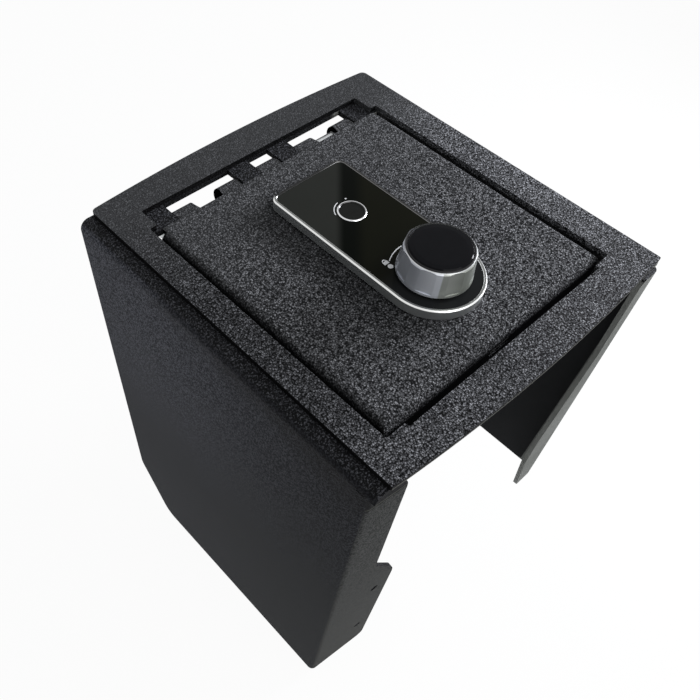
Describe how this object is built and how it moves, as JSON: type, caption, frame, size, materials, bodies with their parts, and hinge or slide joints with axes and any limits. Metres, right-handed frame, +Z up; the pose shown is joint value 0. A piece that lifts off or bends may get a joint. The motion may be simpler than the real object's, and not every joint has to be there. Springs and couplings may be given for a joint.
{
  "type": "vehicle console safe",
  "caption": "Open-bottomed sheet-steel console safe with a hinged top lid, a knob and fingerprint lock, cam-driven bolts and two side flanges.",
  "frame": {"origin": "middle of the bounding box in plan, at the level of the wall feet", "axes": "+Z up through the lid, -Y towards the knob end and the front, +Y towards the hinge, +X to the right seen from the front"},
  "size_m": [0.2, 0.2126, 0.3066],
  "materials": {
    "powder_coat": "fine-wrinkle satin powder coat",
    "powder_coat_lid": "fine-wrinkle satin powder coat",
    "zinc_steel": "zinc plated",
    "satin_chrome": "satin plated",
    "black_glass": "polished, opaque black backing",
    "sensor_black": "satin sensor coating",
    "cap_black": "polished",
    "rubber": "matte",
    "brass": "turned",
    "black_plastic": "moulded matte",
    "board_green": "solder mask",
    "cell_sleeve": "plain printed sleeve"
  },
  "bodies": {
    "safe_body": {"shell": "powder_coat", "frame_plate": "powder_coat", "hinge_ear_left": "powder_coat", "hinge_ear_mid_left": "powder_coat", "hinge_ear_mid_right": "powder_coat", "hinge_ear_right": "powder_coat", "hinge_pin_left": "zinc_steel", "hinge_pin_right": "zinc_steel", "lid_rest_left": "powder_coat", "lid_rest_right": "powder_coat", "lid_bumpers": "rubber"},
    "lid": {"lid_panel": "powder_coat_lid", "lock_gasket": "rubber", "lock_bezel": "satin_chrome", "lock_glass": "black_glass", "sensor_ring": "satin_chrome", "sensor_pad": "sensor_black", "lock_screws": "zinc_steel", "spindle_bush": "brass", "lock_housing": "black_plastic", "housing_cover": "black_plastic", "cover_screws": "zinc_steel", "circuit_board": "board_green", "battery_cells": "cell_sleeve", "battery_contacts": "zinc_steel", "block_motor": "zinc_steel", "bolt_guide_left": "zinc_steel", "bolt_guide_right": "zinc_steel", "bolt_guide_front": "zinc_steel"},
    "knob": {"knob_body": "satin_chrome", "knob_cap": "cap_black", "knob_spindle": "zinc_steel", "cam_wheel": "zinc_steel", "spindle_nut": "zinc_steel"},
    "bolt_left": {"bolt_left": "zinc_steel", "follower_left": "zinc_steel"},
    "bolt_right": {"bolt_right": "zinc_steel", "follower_right": "zinc_steel"},
    "bolt_front": {"bolt_front": "zinc_steel", "follower_front": "zinc_steel"},
    "blocker": {"blocking_pin": "zinc_steel"}
  },
  "joints": [
    {"name": "lid_hinge", "type": "hinge", "parent": "safe_body", "child": "lid", "pos_m": [0, 0.07765, 0.2772], "axis": [-1, 0, 0], "range_deg": [0, 90]},
    {"name": "knob_turn", "type": "hinge", "parent": "lid", "child": "knob", "pos_m": [0, -0.03495, 0.3], "axis": [0, 0, 1], "range_deg": [0, 90]},
    {"name": "bolt_left_slide", "type": "slide", "parent": "lid", "child": "bolt_left", "axis": [-1, 0, 0], "range_m": [0, 0.01]},
    {"name": "bolt_right_slide", "type": "slide", "parent": "lid", "child": "bolt_right", "axis": [1, 0, 0], "range_m": [0, 0.01]},
    {"name": "bolt_front_slide", "type": "slide", "parent": "lid", "child": "bolt_front", "axis": [0, -1, 0], "range_m": [0, 0.01]},
    {"name": "blocker_slide", "type": "slide", "parent": "lid", "child": "blocker", "axis": [0, -1, 0], "range_m": [0, 0.0035]}
  ],
  "couplings": [
    {"joint": "bolt_left_slide", "follows": "knob_turn", "m_per_rad": 0.006366},
    {"joint": "bolt_right_slide", "follows": "knob_turn", "m_per_rad": 0.006366},
    {"joint": "bolt_front_slide", "follows": "knob_turn", "m_per_rad": 0.006366}
  ]
}
